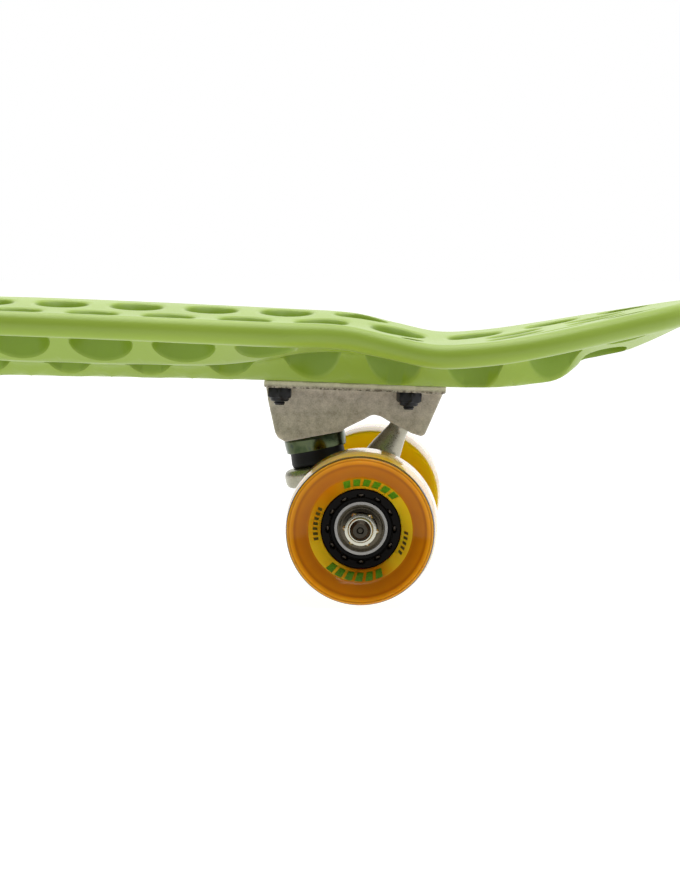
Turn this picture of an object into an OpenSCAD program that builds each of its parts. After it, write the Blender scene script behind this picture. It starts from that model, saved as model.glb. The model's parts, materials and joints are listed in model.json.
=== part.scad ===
/* [Layout] */
// Distance between the front and rear axles
wheelbase = 412; // [400:1:430]
// Height of the axle centres above the ground
axle_z = 30.5; // [30.5:0.1:31]

/* [Deck] */
// Widest half-width of the deck
deck_half_w = 102; // [100:0.5:104]
// How far the deck reaches past each axle
overhang = 140; // [138:1:142]
// Thickness of the rounded rim
rim_t = 9.8; // [9:0.1:10.5]
// How far the middle of the riding surface lies below its rims
concave = 5; // [3:0.5:6]
// Half-width of the flat spine under the deck
spine_half_w = 28; // [28:0.5:30]

/* [Baseplate] */
// Tilt of the baseplate from level, down towards the deck's end
plate_tilt = 2.04; // [1.8:0.02:2.4]
// Width of the baseplate's flange
plate_w = 54; // [53:0.5:56]
// Thickness of the flange
flange_t = 3.2; // [2.8:0.1:3.6]
// Mounting bolt spacing along the deck
bolt_x = 53.975; // [53.5:0.025:54.5]
// Mounting bolt spacing across the deck
bolt_y = 41.275; // [41:0.025:41.5]

/* [Kingpin] */
// Lean of the kingpin from upright
kingpin_lean = 11; // [10:0.5:12]
// Kingpin radius
kingpin_r = 4.76; // [4.6:0.02:4.9]

/* [Hanger] */
// Width of the hanger between its end faces
hanger_w = 129; // [128:0.5:130]
// Outer radius of the hanger's kingpin ring
ring_r = 15.6; // [15.2:0.1:16]
// Thickness of the ring
ring_t = 8.1; // [7.6:0.1:8.4]
// Radius of the ball at the end of the pivot stem
nose_r = 5.2; // [5:0.05:5.3]

/* [Wheels] */
// Wheel radius
wheel_r = 30.5; // [30:0.1:30.5]
// Wheel width
wheel_w = 50; // [48:0.5:51]
// Distance between the wheel centres of one truck
track = 155; // [154.5:0.1:155.5]
// Radius of the hard core
core_r = 16; // [15.5:0.1:16.5]
// Width of the hard core
core_w = 28; // [27:0.5:29]
// Axle radius
axle_r = 4; // [3.9:0.02:4]

/* [Hidden] */
$fn = 48;
eps = 0.01;
front = -1;
rear = 1;
left = -1;
right = 1;
running = 0.03;

// Baseplate frame: origin at the centre of the bolt pattern, on the plate's top face
plate_x = -9;
plate_z = 85.2;
plate_inboard = 33.4;
plate_outboard = 42.3;
body_half_w = 14;
bolt_r = 2.4;
bolt_top = 15;
bolt_head_r = 4.6;
bolt_head_h = 2.6;
bolt_tip = 1.5;
recess_len = 4.4;
recess_w = 0.9;
recess_depth = 1.8;
nut_flat_r = 4.75;
nut_hex_h = 4.2;
nut_h = 5.8;

// Kingpin line: seat centre, and stations measured down it from the seat
seat_x = -22.8;
seat_z = 61.9;
cup_base = 1.6;
cup_h = 6.2;
cup_r = 13.15;
ring_top = 12.8;
ring_end = ring_top + ring_t;
washer_top = 31.4;
washer_t = 1.6;
nut_top = washer_top + washer_t;
kingpin_end = 42;
head_top = -21.5;
head_h = 5.5;
head_r = 7.6;
head_reach = 12;

// Pivot: centre of the ball, and the lean of the stem below it
pivot_x = 17.2;
pivot_z = 72;
stem_lean = 30;
cup_outer_r = 6.8;
cup_behind = 1.2;
cup_ahead = 5;
stem_r = 4.3;
stem_mid_r = 6.6;
stem_end_r = 9.8;
stem_neck = 9;
stem_mid = 18;
stem_len = 34;

// Bearing stack, measured from the wheel's centre plane
bearing_r = 11;
bearing_w = 7;
spacer_w = 10;
ball_r = 1.98;
ball_pitch_r = 7.75;
ball_count = 7;
outer_ring_in = 9.3;
inner_ring_out = 6.2;
stack = spacer_w / 2 + bearing_w;
speed_ring_t = 1;
axle_nut_h = 7.6;
axle_half = 99.8;
core_recess = core_w / 2 - stack;

// ---- curves ----
function seg(p, x, i = 0) = (i >= len(p) - 2 || x < p[i + 1][0]) ? i : seg(p, x, i + 1);
function tangent(p, i) =
  let (a = max(i - 1, 0), b = min(i + 1, len(p) - 1)) (p[b][1] - p[a][1]) / (p[b][0] - p[a][0]);
function curve(p, x) =
  let (
    i = seg(p, x),
    h = p[i + 1][0] - p[i][0],
    t = (x - p[i][0]) / h,
    m0 = tangent(p, i) * h,
    m1 = tangent(p, i + 1) * h
  )
  (2 * t ^ 3 - 3 * t ^ 2 + 1) * p[i][1] + (t ^ 3 - 2 * t ^ 2 + t) * m0
  + (3 * t ^ 2 - 2 * t ^ 3) * p[i + 1][1] + (t ^ 3 - t ^ 2) * m1;
function ease(a, b, x) = let (t = min(1, max(0, (x - a) / (b - a)))) t * t * (3 - 2 * t);

// ---- deck: station r is the distance past the nearer axle ----
rim_common = [[-206, 118.5], [-142, 117], [-34, 112.4], [-8, 111], [10, 107], [29, 103.1], [47, 103.7]];
rim_tail = concat(rim_common, [[66, 106.2], [105, 113.4], [140, 120]]);
rim_nose = concat(rim_common, [[66, 105.4], [105, 109.4], [140, 112]]);
half_line = [[-206, 0], [-142, -1], [-34, -7], [-8, -18], [10, -23], [29, -24], [66, -26], [85, -36],
  [105, -52], [126, -70]];
spine_common = [[-206, 88.8], [-142, 88.2], [-42.4, 85.8], [33.3, 83.1], [56, 83.3], [70, 85.1],
  [80, 88], [91, 95.3]];
spine_tail = concat(spine_common, [[105, 99.4], [120, 105], [140, 109.6]]);
spine_nose = concat(spine_common, [[105, 98.4], [120, 100], [140, 101.8]]);
// Share of the underside's depth that the outer of its two steps takes
outer_share = [[-206, 0.57], [-62, 0.57], [-23, 0.21], [3, 0.08], [29, 0], [140, 0]];
tail_tip_r = 42.9;
tail_tip_from = 125;
nose_from = 62;
nose_narrowing = 25.8;
// The underside's two steps, by distance from the centre line where the deck is full_half_w wide
full_half_w = 78;
outer_step_from = 58;
outer_step_to = 75;
inner_step_to = 43;
least_edge = 8;

function station(x) = abs(x) - wheelbase / 2;
function rim(x) = curve(x > 0 ? rim_tail : rim_nose, station(x));
function spine(x) = curve(x > 0 ? spine_tail : spine_nose, station(x));
function tip_arc(r, radius, length) =
  radius * sqrt(max(0, 1 - ((r - overhang + length) / length) ^ 2));
function half_w(x) =
  let (r = min(station(x), overhang))
  (x < 0 && r > nose_from) ? tip_arc(r, deck_half_w - nose_narrowing, overhang - nose_from)
  : (r > tail_tip_from) ? tip_arc(r, tail_tip_r, tail_tip_r)
  : deck_half_w + curve(half_line, r);

function top_z(x, y) =
  rim(x) - concave * min(1, half_w(x) / 80) * (1 - (y / max(half_w(x), 1)) ^ 2);
// Two steps lead from the rim's edge down to the spine
function bottom_z(x, y) =
  let (
    w = half_w(x),
    f = min(1, w / full_half_w),
    edge = rim(x) - rim_t,
    share = curve(outer_share, station(x)),
    outer_step = 1 - ease(outer_step_from * f, min(outer_step_to, w - least_edge) * f, abs(y)),
    inner_step = 1 - ease(spine_half_w * f, inner_step_to * f, abs(y))
  )
  edge + (spine(x) - edge) * (share * outer_step + (1 - share) * inner_step);

row_y = [5, spine_half_w, inner_step_to, outer_step_from, 66, outer_step_to];
rows = concat([for (i = [5:-1:0]) -row_y[i]], row_y);
column_step = 16.75;
tips = [326, 333, 339, 343, 345, 346];
tip_half_w = 18;
pad_gap = 0.5;
pad_reach = 12;
columns = concat(
  [for (i = [5:-1:0]) -tips[i]],
  [for (i = [-19:19]) i * column_step],
  tips
);
rim_angles = [50, 0, -50];

// One closed cross-section of the deck at x: across the top, round the rim, back underneath
function section(x) =
  let (
    far = min(1, max(0.08, (wheelbase / 2 + overhang - abs(x)) / (rim_t / 2))),
    t = rim_t / 2 * sqrt(1 - (1 - far) ^ 2),
    mid = rim(x) - rim_t / 2,
    inner = max(half_w(x), tip_half_w) - rim_t / 2,
    squeeze = min(1, (inner - 2) / (outer_step_to + 2)),
    plain = far < 1
  )
  concat(
    [[x, -inner, mid + t]],
    [for (y = rows) [x, y * squeeze, plain ? mid + t : top_z(x, y * squeeze)]],
    [[x, inner, mid + t]],
    [for (a = rim_angles) [x, inner + t * cos(a), mid + t * sin(a)]],
    [[x, inner, mid - t]],
    [for (i = [len(rows) - 1:-1:0])
      let (y = rows[i] * squeeze) [x, y, plain ? mid - t : bottom_z(x, y)]],
    [[x, -inner, mid - t]],
    [for (i = [2:-1:0]) let (a = rim_angles[i]) [x, -inner - t * cos(a), mid + t * sin(a)]]
  );

module deck_shell() {
  sections = [for (x = columns) section(x)];
  n = len(sections[0]);
  m = len(sections);
  ends = [for (x = [columns[0], columns[m - 1]]) [x, 0, rim(x) - rim_t / 2]];
  sides = [for (i = [0:m - 2], j = [0:n - 1])
    let (a = i * n + j, b = i * n + (j + 1) % n)
    each [[a, b, b + n], [a, b + n, a + n]]];
  nose_cap = [for (j = [0:n - 1]) [m * n, (j + 1) % n, j]];
  tail_cap = [for (j = [0:n - 1]) [m * n + 1, (m - 1) * n + j, (m - 1) * n + (j + 1) % n]];
  polyhedron(concat([for (s = sections) each s], ends), concat(sides, nose_cap, tail_cap));
}

module deck() {
  color("yellowgreen")
  difference() {
    deck_shell();
    for (end = [front, rear]) at_plate(end) {
      translate([-plate_inboard - pad_gap, -plate_w / 2 - pad_gap, -pad_reach])
        cube([plate_inboard + plate_outboard + 2 * pad_gap, plate_w + 2 * pad_gap, pad_reach]);
      at_bolts() {
        translate([0, 0, -flange_t]) cylinder(r = bolt_r + 0.2, h = bolt_top + pad_reach);
        translate([0, 0, bolt_top - bolt_head_h]) cylinder(r = bolt_head_r + 0.3, h = pad_reach);
      }
    }
  }
}

// ---- frames ----
module at_truck(end) {
  rotate([0, 0, end == front ? 180 : 0]) translate([wheelbase / 2, 0, 0]) children();
}
module at_plate(end) {
  at_truck(end) translate([plate_x, 0, plate_z]) rotate([0, plate_tilt, 0]) children();
}
module at_bolts() {
  for (x = [-1, 1], y = [-1, 1]) translate([x * bolt_x / 2, y * bolt_y / 2, 0]) children();
}
// Origin at the kingpin seat, +Z down the kingpin
module at_kingpin(end) {
  at_truck(end) translate([seat_x, 0, seat_z]) rotate([0, 180 - kingpin_lean, 0]) children();
}
// Origin at the pivot ball, +Z down the stem
module at_pivot(end) {
  at_truck(end) translate([pivot_x, 0, pivot_z]) rotate([0, 180 + stem_lean, 0]) children();
}
// Origin at the wheel's centre, +Z outwards along the axle
module at_wheel(end, side) {
  rotate([0, 0, end == front ? 180 : 0])
    translate([wheelbase / 2, side * end * track / 2, axle_z])
      rotate([side * end == left ? 90 : -90, 0, 0]) children();
}
module both_wheels(end) {
  for (side = [left, right]) at_wheel(end, side) children();
}
module tube(outer, inner, z0, z1) {
  translate([0, 0, z0]) difference() {
    cylinder(r = outer, h = z1 - z0);
    translate([0, 0, -1]) cylinder(r = inner, h = z1 - z0 + 2);
  }
}
module hex_nut(flat_r, hex_h, total_h, collar_r, bore) {
  difference() {
    union() {
      cylinder(r = flat_r / cos(30), h = hex_h, $fn = 6);
      translate([0, 0, hex_h - eps]) cylinder(r = collar_r, h = total_h - hex_h + eps);
    }
    translate([0, 0, -1]) cylinder(r = bore, h = total_h + 2);
  }
}

// ---- baseplate ----
// Side outline below the flange: kingpin seat, notch, then the pivot block
plate_outline = [
  [-plate_inboard, -flange_t + 0.5], [-32.2, -9.4], [-28.8, -22.8], [-27.4, -25], [-24.3, -26.5],
  [-0.5, -21.15], [0.3, -20.1], [9, -15.4], [10.9, -14.1], [12.7, -13.7], [15.4, -14.3],
  [18.4, -16], [28.5, -20.9], [32.5, -22], [34, -21.4], [34.9, -19.3],
  [plate_outboard - 0.8, -flange_t + 0.5]
];
module baseplate(end) {
  color("silver")
  difference() {
    at_plate(end) union() {
      difference() {
        translate([-plate_inboard, -plate_w / 2, -flange_t])
          cube([plate_inboard + plate_outboard, plate_w, flange_t]);
        at_bolts() translate([0, 0, -flange_t - 1]) cylinder(r = bolt_r + 0.15, h = flange_t + 2);
      }
      rotate([90, 0, 0]) translate([0, 0, -body_half_w])
        linear_extrude(height = 2 * body_half_w) polygon(plate_outline);
    }
    at_kingpin(end) {
      translate([0, 0, head_top - head_reach])
        cylinder(r = kingpin_r + running, h = head_reach - head_top);
      translate([0, 0, head_top - head_reach]) cylinder(r = head_r + 1, h = head_reach + head_h);
      cylinder(r = cup_r + 0.3, h = head_reach);
    }
    at_pivot(end) {
      translate([0, 0, -nose_r - cup_behind]) cylinder(r = cup_outer_r, h = nose_r + cup_behind + cup_ahead);
      translate([0, 0, cup_ahead - 1]) cylinder(r = cup_outer_r - 0.6, h = stem_neck);
    }
  }
}
module kingpin(end) {
  color("dimgray")
  at_kingpin(end) {
    translate([0, 0, head_top]) cylinder(r = head_r, h = head_h, $fn = 6);
    translate([0, 0, head_top + head_h - eps]) cylinder(r = kingpin_r, h = kingpin_end - head_top - head_h);
  }
}
module pivot_cup(end) {
  color("black")
  at_pivot(end) difference() {
    translate([0, 0, -nose_r - cup_behind]) cylinder(r = cup_outer_r, h = nose_r + cup_behind + cup_ahead);
    sphere(r = nose_r + 0.1);
    cylinder(r = nose_r + 0.1, h = 10);
  }
}

// ---- bushings and washers ----
bushing_bore = kingpin_r + 0.3;
module top_bushing(end) {
  color("black")
  at_kingpin(end) rotate_extrude() polygon([
    [bushing_bore, cup_base], [11.2, cup_base], [11.7, cup_base + 2], [11.4, 7.4],
    [11.7, ring_top - 1], [11.2, ring_top], [bushing_bore, ring_top]
  ]);
}
module bottom_bushing(end) {
  color("black")
  at_kingpin(end) rotate_extrude() polygon([
    [bushing_bore, ring_end], [9.6, ring_end], [10, ring_end + 1], [8.6, washer_top - 0.8],
    [8, washer_top], [bushing_bore, washer_top]
  ]);
}
module top_washer(end) {
  color("lightsteelblue")
  at_kingpin(end) rotate_extrude() polygon([
    [kingpin_r + 0.1, 0], [cup_r - 0.8, 0], [cup_r, 0.8], [cup_r - 0.5, cup_h], [cup_r - 1.1, cup_h],
    [cup_r - 1.1, cup_base], [kingpin_r + 0.1, cup_base]
  ]);
}
module bottom_washer(end) {
  color("lightsteelblue")
  at_kingpin(end) rotate_extrude() polygon([
    [kingpin_r + 0.1, nut_top], [9, nut_top], [9.6, nut_top - 0.6], [9.6, washer_top - 1.2],
    [8.9, washer_top - 1.2], [8.9, washer_top], [kingpin_r + 0.1, washer_top]
  ]);
}
module kingpin_nut(end) {
  color("dimgray")
  at_kingpin(end) translate([0, 0, nut_top]) hex_nut(7.15, 5.6, 7.8, 6.2, kingpin_r + 0.02);
}

// ---- mounting hardware ----
module mounting_bolts(end) {
  tip = -flange_t - nut_h - bolt_tip;
  color("black")
  at_plate(end) at_bolts() difference() {
    union() {
      translate([0, 0, tip]) cylinder(r = bolt_r, h = bolt_top - bolt_head_h - tip + eps);
      translate([0, 0, bolt_top - bolt_head_h])
        cylinder(r1 = bolt_r, r2 = bolt_head_r, h = bolt_head_h);
    }
    translate([0, 0, bolt_top]) cube([recess_len, recess_w, 2 * recess_depth], center = true);
    translate([0, 0, bolt_top]) cube([recess_w, recess_len, 2 * recess_depth], center = true);
  }
}
module mounting_nuts(end) {
  color("black")
  at_plate(end) at_bolts() translate([0, 0, -flange_t]) mirror([0, 0, 1])
    hex_nut(nut_flat_r, nut_hex_h, nut_h, 4, bolt_r + 0.02);
}

// ---- hanger ----
axle_tube = [
  [0, -hanger_w / 2], [8.6, -hanger_w / 2], [9, -50], [10.2, -34], [12, -18], [12.8, -8],
  [12.8, 8], [12, 18], [10.2, 34], [9, 50], [8.6, hanger_w / 2], [0, hanger_w / 2]
];
hanger_web = [
  [-14, 49], [-6, 52], [4, 56], [12, 53], [13.2, 44], [12.4, 28], [8, 20], [-2, 18], [-10, 22],
  [-14, 36]
];
module hanger(end) {
  color("gainsboro")
  difference() {
    union() {
      at_kingpin(end) rotate_extrude() polygon([
        [3, ring_top], [ring_r - 2.4, ring_top], [ring_r - 0.7, ring_top + 0.7],
        [ring_r, ring_top + 2.4], [ring_r, ring_end - 2.4], [ring_r - 0.7, ring_end - 0.7],
        [ring_r - 2.4, ring_end], [3, ring_end]
      ]);
      at_truck(end) {
        translate([0, 0, axle_z]) rotate([-90, 0, 0]) rotate_extrude() polygon(axle_tube);
        rotate([90, 0, 0]) translate([0, 0, -10]) linear_extrude(height = 20) polygon(hanger_web);
      }
      at_pivot(end) {
        sphere(r = nose_r);
        cylinder(r = stem_r, h = stem_neck);
        translate([0, 0, stem_neck - eps]) cylinder(r1 = stem_r, r2 = stem_mid_r, h = stem_mid - stem_neck);
        translate([0, 0, stem_mid - eps]) cylinder(r1 = stem_mid_r, r2 = stem_end_r, h = stem_len - stem_mid);
      }
    }
    at_truck(end) translate([0, 0, axle_z]) rotate([-90, 0, 0])
      translate([0, 0, -hanger_w / 2 - 1]) cylinder(r = axle_r, h = hanger_w + 2);
    at_kingpin(end) {
      translate([0, 0, ring_top - 4]) cylinder(r = 7.2, h = ring_t + 8);
      translate([0, 0, -2]) cylinder(r = 13.2, h = ring_top + 2);
      for (y = [-3.6, 3.6]) translate([0, y, ring_end]) cylinder(r = 10.4, h = 30);
      translate([-10.4, -3.6, ring_end]) cube([20.8, 7.2, 30]);
    }
  }
}
module axle(end) {
  color("lightgray")
  at_truck(end) translate([0, 0, axle_z]) rotate([-90, 0, 0])
    translate([0, 0, -axle_half]) cylinder(r = axle_r, h = 2 * axle_half);
}
module axle_nuts(end) {
  color("silver")
  both_wheels(end) translate([0, 0, stack + speed_ring_t])
    hex_nut(6.35, 5.4, axle_nut_h, 5.6, axle_r + 0.02);
}
module speed_rings(end) {
  color("silver")
  both_wheels(end) {
    tube(5.7, axle_r + 0.05, stack, stack + speed_ring_t);
    tube(5.7, axle_r + 0.05, -stack - speed_ring_t, -stack);
  }
}

// ---- bearings ----
module both_bearings() {
  for (s = [-1, 1]) translate([0, 0, s * (spacer_w + bearing_w) / 2]) children();
}
module raceway() {
  rotate_extrude() translate([ball_pitch_r, 0]) circle(r = ball_r + 0.06);
}
module bearing_inner_rings(end) {
  color("lightgray")
  both_wheels(end) both_bearings() difference() {
    tube(inner_ring_out, axle_r + 0.02, -bearing_w / 2, bearing_w / 2);
    raceway();
  }
}
module bearing_spacers(end) {
  color("silver")
  both_wheels(end) tube(5.4, axle_r + 0.05, -spacer_w / 2, spacer_w / 2);
}
module bearing_rings(end, side) {
  color("lightgray")
  at_wheel(end, side) both_bearings() difference() {
    tube(bearing_r, outer_ring_in, -bearing_w / 2, bearing_w / 2);
    raceway();
  }
}
module bearing_balls(end, side) {
  color("white")
  at_wheel(end, side) both_bearings()
    for (i = [0:ball_count - 1]) rotate([0, 0, 360 * i / ball_count])
      translate([ball_pitch_r, 0, 0]) sphere(r = ball_r);
}
module bearing_shields(end, side) {
  color("darkgray")
  at_wheel(end, side) both_bearings() for (s = [-1, 1])
    translate([0, 0, s * (bearing_w / 2 - 0.5) - 0.2])
      tube(outer_ring_in, inner_ring_out + 0.25, 0, 0.4);
}

// ---- wheels ----
half = wheel_w / 2;
lip = [
  [core_r, core_w / 2], [17, core_w / 2 + 1.2], [20.8, half - 4.6], [24, half - 2.4],
  [27.2, half - 0.5], [28.2, half], [28.9, half - 0.3], [29.35, half - 1.4], [29.6, half - 3.6],
  [wheel_r - 0.4, half - 8], [wheel_r, half - 14]
];
function flip(p) = [for (i = [len(p) - 1:-1:0]) [p[i][0], -p[i][1]]];
module tyre(end, side) {
  color("orange")
  at_wheel(end, side) rotate_extrude($fn = 96) polygon(concat(lip, flip(lip)));
}
module core(end, side) {
  color("black")
  at_wheel(end, side) difference() {
    cylinder(r = core_r, h = core_w, center = true);
    cylinder(r = 8.6, h = core_w + 2, center = true);
    for (s = [-1, 1]) {
      translate([0, 0, s * (spacer_w / 2 + 15)]) cylinder(r = bearing_r, h = 30, center = true);
      translate([0, 0, s * (core_w / 2)]) cylinder(r = 12.2, h = 2.4, center = true);
      for (i = [0:11]) rotate([0, 0, 30 * i]) translate([13.9, 0, s * core_w / 2])
        cylinder(r = 1.1, h = 10, center = true, $fn = 16);
    }
  }
}

deck();
baseplate(front);  // front_baseplate
baseplate(rear);  // rear_baseplate
kingpin(front);  // front_kingpin
kingpin(rear);  // rear_kingpin
pivot_cup(front);  // front_pivot_cup
pivot_cup(rear);  // rear_pivot_cup
hanger(front);  // front_hanger
hanger(rear);  // rear_hanger
axle(front);  // front_axle
axle(rear);  // rear_axle
top_bushing(front);  // front_top_bushing
top_bushing(rear);  // rear_top_bushing
bottom_bushing(front);  // front_bottom_bushing
bottom_bushing(rear);  // rear_bottom_bushing
top_washer(front);  // front_top_washer
top_washer(rear);  // rear_top_washer
bottom_washer(front);  // front_bottom_washer
bottom_washer(rear);  // rear_bottom_washer
kingpin_nut(front);  // front_kingpin_nut
kingpin_nut(rear);  // rear_kingpin_nut
mounting_bolts(front);  // front_mounting_bolts
mounting_bolts(rear);  // rear_mounting_bolts
mounting_nuts(front);  // front_mounting_nuts
mounting_nuts(rear);  // rear_mounting_nuts
axle_nuts(front);  // front_axle_nuts
axle_nuts(rear);  // rear_axle_nuts
speed_rings(front);  // front_speed_rings
speed_rings(rear);  // rear_speed_rings
bearing_inner_rings(front);  // front_bearing_inner_rings
bearing_inner_rings(rear);  // rear_bearing_inner_rings
bearing_spacers(front);  // front_bearing_spacers
bearing_spacers(rear);  // rear_bearing_spacers
tyre(front, left);  // front_left_tyre
tyre(front, right);  // front_right_tyre
tyre(rear, left);  // rear_left_tyre
tyre(rear, right);  // rear_right_tyre
core(front, left);  // front_left_core
core(front, right);  // front_right_core
core(rear, left);  // rear_left_core
core(rear, right);  // rear_right_core
bearing_rings(front, left);  // front_left_bearing_rings
bearing_rings(front, right);  // front_right_bearing_rings
bearing_rings(rear, left);  // rear_left_bearing_rings
bearing_rings(rear, right);  // rear_right_bearing_rings
bearing_balls(front, left);  // front_left_bearing_balls
bearing_balls(front, right);  // front_right_bearing_balls
bearing_balls(rear, left);  // rear_left_bearing_balls
bearing_balls(rear, right);  // rear_right_bearing_balls
bearing_shields(front, left);  // front_left_bearing_shields
bearing_shields(front, right);  // front_right_bearing_shields
bearing_shields(rear, left);  // rear_left_bearing_shields
bearing_shields(rear, right);  // rear_right_bearing_shields
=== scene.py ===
"""A small plastic cruiser skateboard: a moulded deck, kingpin trucks and translucent wheels."""
import json
import math
from functools import cache

import bmesh
import bpy
import numpy as np
from mathutils import Matrix, Vector

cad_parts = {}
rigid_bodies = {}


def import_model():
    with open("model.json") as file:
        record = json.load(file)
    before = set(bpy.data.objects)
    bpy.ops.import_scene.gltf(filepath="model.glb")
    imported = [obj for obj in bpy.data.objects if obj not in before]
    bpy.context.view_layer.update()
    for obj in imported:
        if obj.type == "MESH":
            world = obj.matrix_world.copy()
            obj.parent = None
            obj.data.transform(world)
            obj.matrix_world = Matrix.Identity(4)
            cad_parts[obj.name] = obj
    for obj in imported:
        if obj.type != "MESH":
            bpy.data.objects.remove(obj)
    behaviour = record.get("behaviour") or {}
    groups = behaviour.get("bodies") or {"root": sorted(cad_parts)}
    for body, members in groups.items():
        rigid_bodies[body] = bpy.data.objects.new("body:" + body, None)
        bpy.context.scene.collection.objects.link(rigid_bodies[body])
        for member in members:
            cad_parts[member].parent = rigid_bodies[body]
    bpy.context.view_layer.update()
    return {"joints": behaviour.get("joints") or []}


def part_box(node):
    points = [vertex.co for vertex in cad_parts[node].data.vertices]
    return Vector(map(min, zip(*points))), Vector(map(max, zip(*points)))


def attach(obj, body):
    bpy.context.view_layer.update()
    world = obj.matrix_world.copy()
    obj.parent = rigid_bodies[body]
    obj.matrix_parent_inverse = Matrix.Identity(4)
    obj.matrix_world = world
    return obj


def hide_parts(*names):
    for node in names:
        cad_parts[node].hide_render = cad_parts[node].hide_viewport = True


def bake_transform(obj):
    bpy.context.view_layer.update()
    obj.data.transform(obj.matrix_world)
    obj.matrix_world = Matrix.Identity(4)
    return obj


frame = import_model()

MM = 0.001
ENDS = {"front": -1, "rear": 1}
SIDES = {"left": -1, "right": 1}

# ---- sizes, in millimetres, read from the frame where it holds them ----
# A truck's places are measured from its axle, with +X towards the nearer tip of the board.
spin = {j["name"]: [v / MM for v in j["pos_m"]] for j in frame["joints"] if j["name"].endswith("_spin")}
AXLE_X = spin["rear_left_spin"][0]
AXLE_Z = spin["rear_left_spin"][2]
WHEEL_Y = spin["rear_right_spin"][1]
TYRE_LOW, TYRE_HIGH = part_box("rear_right_tyre")
WHEEL_R = (TYRE_HIGH[2] - TYRE_LOW[2]) / MM / 2
WHEEL_W = (TYRE_HIGH[1] - TYRE_LOW[1]) / MM
TIP_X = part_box("deck")[1][0] / MM
DECK_HALF_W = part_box("deck")[1][1] / MM
OVERHANG = TIP_X - AXLE_X

RIM_T = 9.8
# Spacing of the pockets along the board and of their rows across it
PITCH = 33.5
ROW = 29.0

# The baseplate's top, the bolt pattern in it, and the seats of the bolts and the kingpin
PLATE_X, PLATE_Z, PLATE_TILT = -9.0, 85.2, math.radians(2.04)
FLANGE_T = 3.2
BOLT_X, BOLT_Y = 53.975, 41.275
BOLT_SEAT = 12.4
SEAT_X, SEAT_Z, KINGPIN_LEAN = -22.8, 61.9, math.radians(11)
# Down the kingpin from its seat: the hanger's ring, the lower washer and the nut
RING_TOP, RING_END = 12.8, 20.9
WASHER_TOP, NUT_TOP = 31.4, 33.0
KINGPIN_R = 4.76
BOLT_R = 2.35
AXLE_R, AXLE_HALF = 3.97, 99.7
CORE_R, CORE_W = 16.0, 28.0
# Half of a wheel's bearings with the spacer between them
STACK = 12.0


# ---- curves of the deck, by distance past the nearer axle ----
RIM_COMMON = [(-206, 118.5), (-142, 117), (-34, 112.4), (-8, 111), (10, 107), (29, 103.1), (47, 103.7)]
RIM_TAIL = RIM_COMMON + [(66, 106.2), (105, 113.4), (140, 120)]
RIM_NOSE = RIM_COMMON + [(66, 105.4), (105, 109.4), (140, 112)]
HALF_LINE = [(-206, 0), (-142, -1), (-34, -7), (-8, -18), (10, -23), (29, -24), (66, -26), (85, -36),
             (105, -52), (126, -70)]
SPINE_COMMON = [(-206, 88.8), (-142, 88.2), (-42.4, 86.4), (33.3, 83.7), (56, 83.7), (70, 85.1),
                (80, 88), (91, 95.3)]
SPINE_TAIL = SPINE_COMMON[:-2] + [(80, 87), (90, 93.6), (96, 95), (109, 98), (122, 102.7), (140, 109.6)]
SPINE_NOSE = SPINE_COMMON + [(105, 98.4), (120, 100), (140, 101.8)]
# How the drop from the rim to the spine is shared between the outer step, the ledge and the inner step
OUTER_SHARE = [(-206, 0.57), (-62, 0.57), (-23, 0.2), (3, 0.08), (29, 0), (140, 0)]
LEDGE_SHARE = [(-206, 0.23), (-62, 0.22), (-23, 0.09), (3, 0.07), (140, 0.07)]
# How far the middle of the riding side lies under the rim
DISH = [(-206, 4.7), (0, 4.7), (45, 2.3), (75, 1.2), (140, 0.8)]
# Where the inner step ends and begins, in lattice rows
FOOT_ROWS = [(-206, 13), (-62, 13), (-40, 12.1), (84, 12.1), (97, 5), (140, 5)]
CREASE_ROWS = [(-206, 16), (84, 16), (97, 18), (140, 18)]
TAIL_TIP_R = 42.9
TAIL_TIP_FROM = 125.2
NOSE_FROM = 62.0
NOSE_NARROWING = 25.8
# The steps of the underside, where the deck is FULL_HALF_W wide or wider
FULL_HALF_W = 78
STEP_FROM, STEP_TO, LEAST_EDGE = 58, 74.9, 8


def curve(points, x):
    """Smooth curve through points, at every x of an array."""
    px = np.array([p[0] for p in points], float)
    py = np.array([p[1] for p in points], float)
    slope = np.empty_like(py)
    slope[1:-1] = (py[2:] - py[:-2]) / (px[2:] - px[:-2])
    slope[0] = (py[1] - py[0]) / (px[1] - px[0])
    slope[-1] = (py[-1] - py[-2]) / (px[-1] - px[-2])
    i = np.clip(np.searchsorted(px, x, side="right") - 1, 0, len(px) - 2)
    h = px[i + 1] - px[i]
    t = (x - px[i]) / h
    return ((2 * t**3 - 3 * t**2 + 1) * py[i] + (t**3 - 2 * t**2 + t) * slope[i] * h
            + (3 * t**2 - 2 * t**3) * py[i + 1] + (t**3 - t**2) * slope[i + 1] * h)


def ease(a, b, x):
    t = np.clip((x - a) / (b - a), 0, 1)
    return t * t * (3 - 2 * t)


def ramp(a, b, x):
    return np.clip((x - a) / (b - a), 0, 1)


def past_axle(points, x):
    """The same curve at both ends of the board."""
    return curve(points, np.minimum(np.abs(x) - AXLE_X, OVERHANG))


def rim_z(x):
    return np.where(x > 0, past_axle(RIM_TAIL, x), past_axle(RIM_NOSE, x))


def spine_z(x):
    return np.where(x > 0, past_axle(SPINE_TAIL, x), past_axle(SPINE_NOSE, x))


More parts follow.
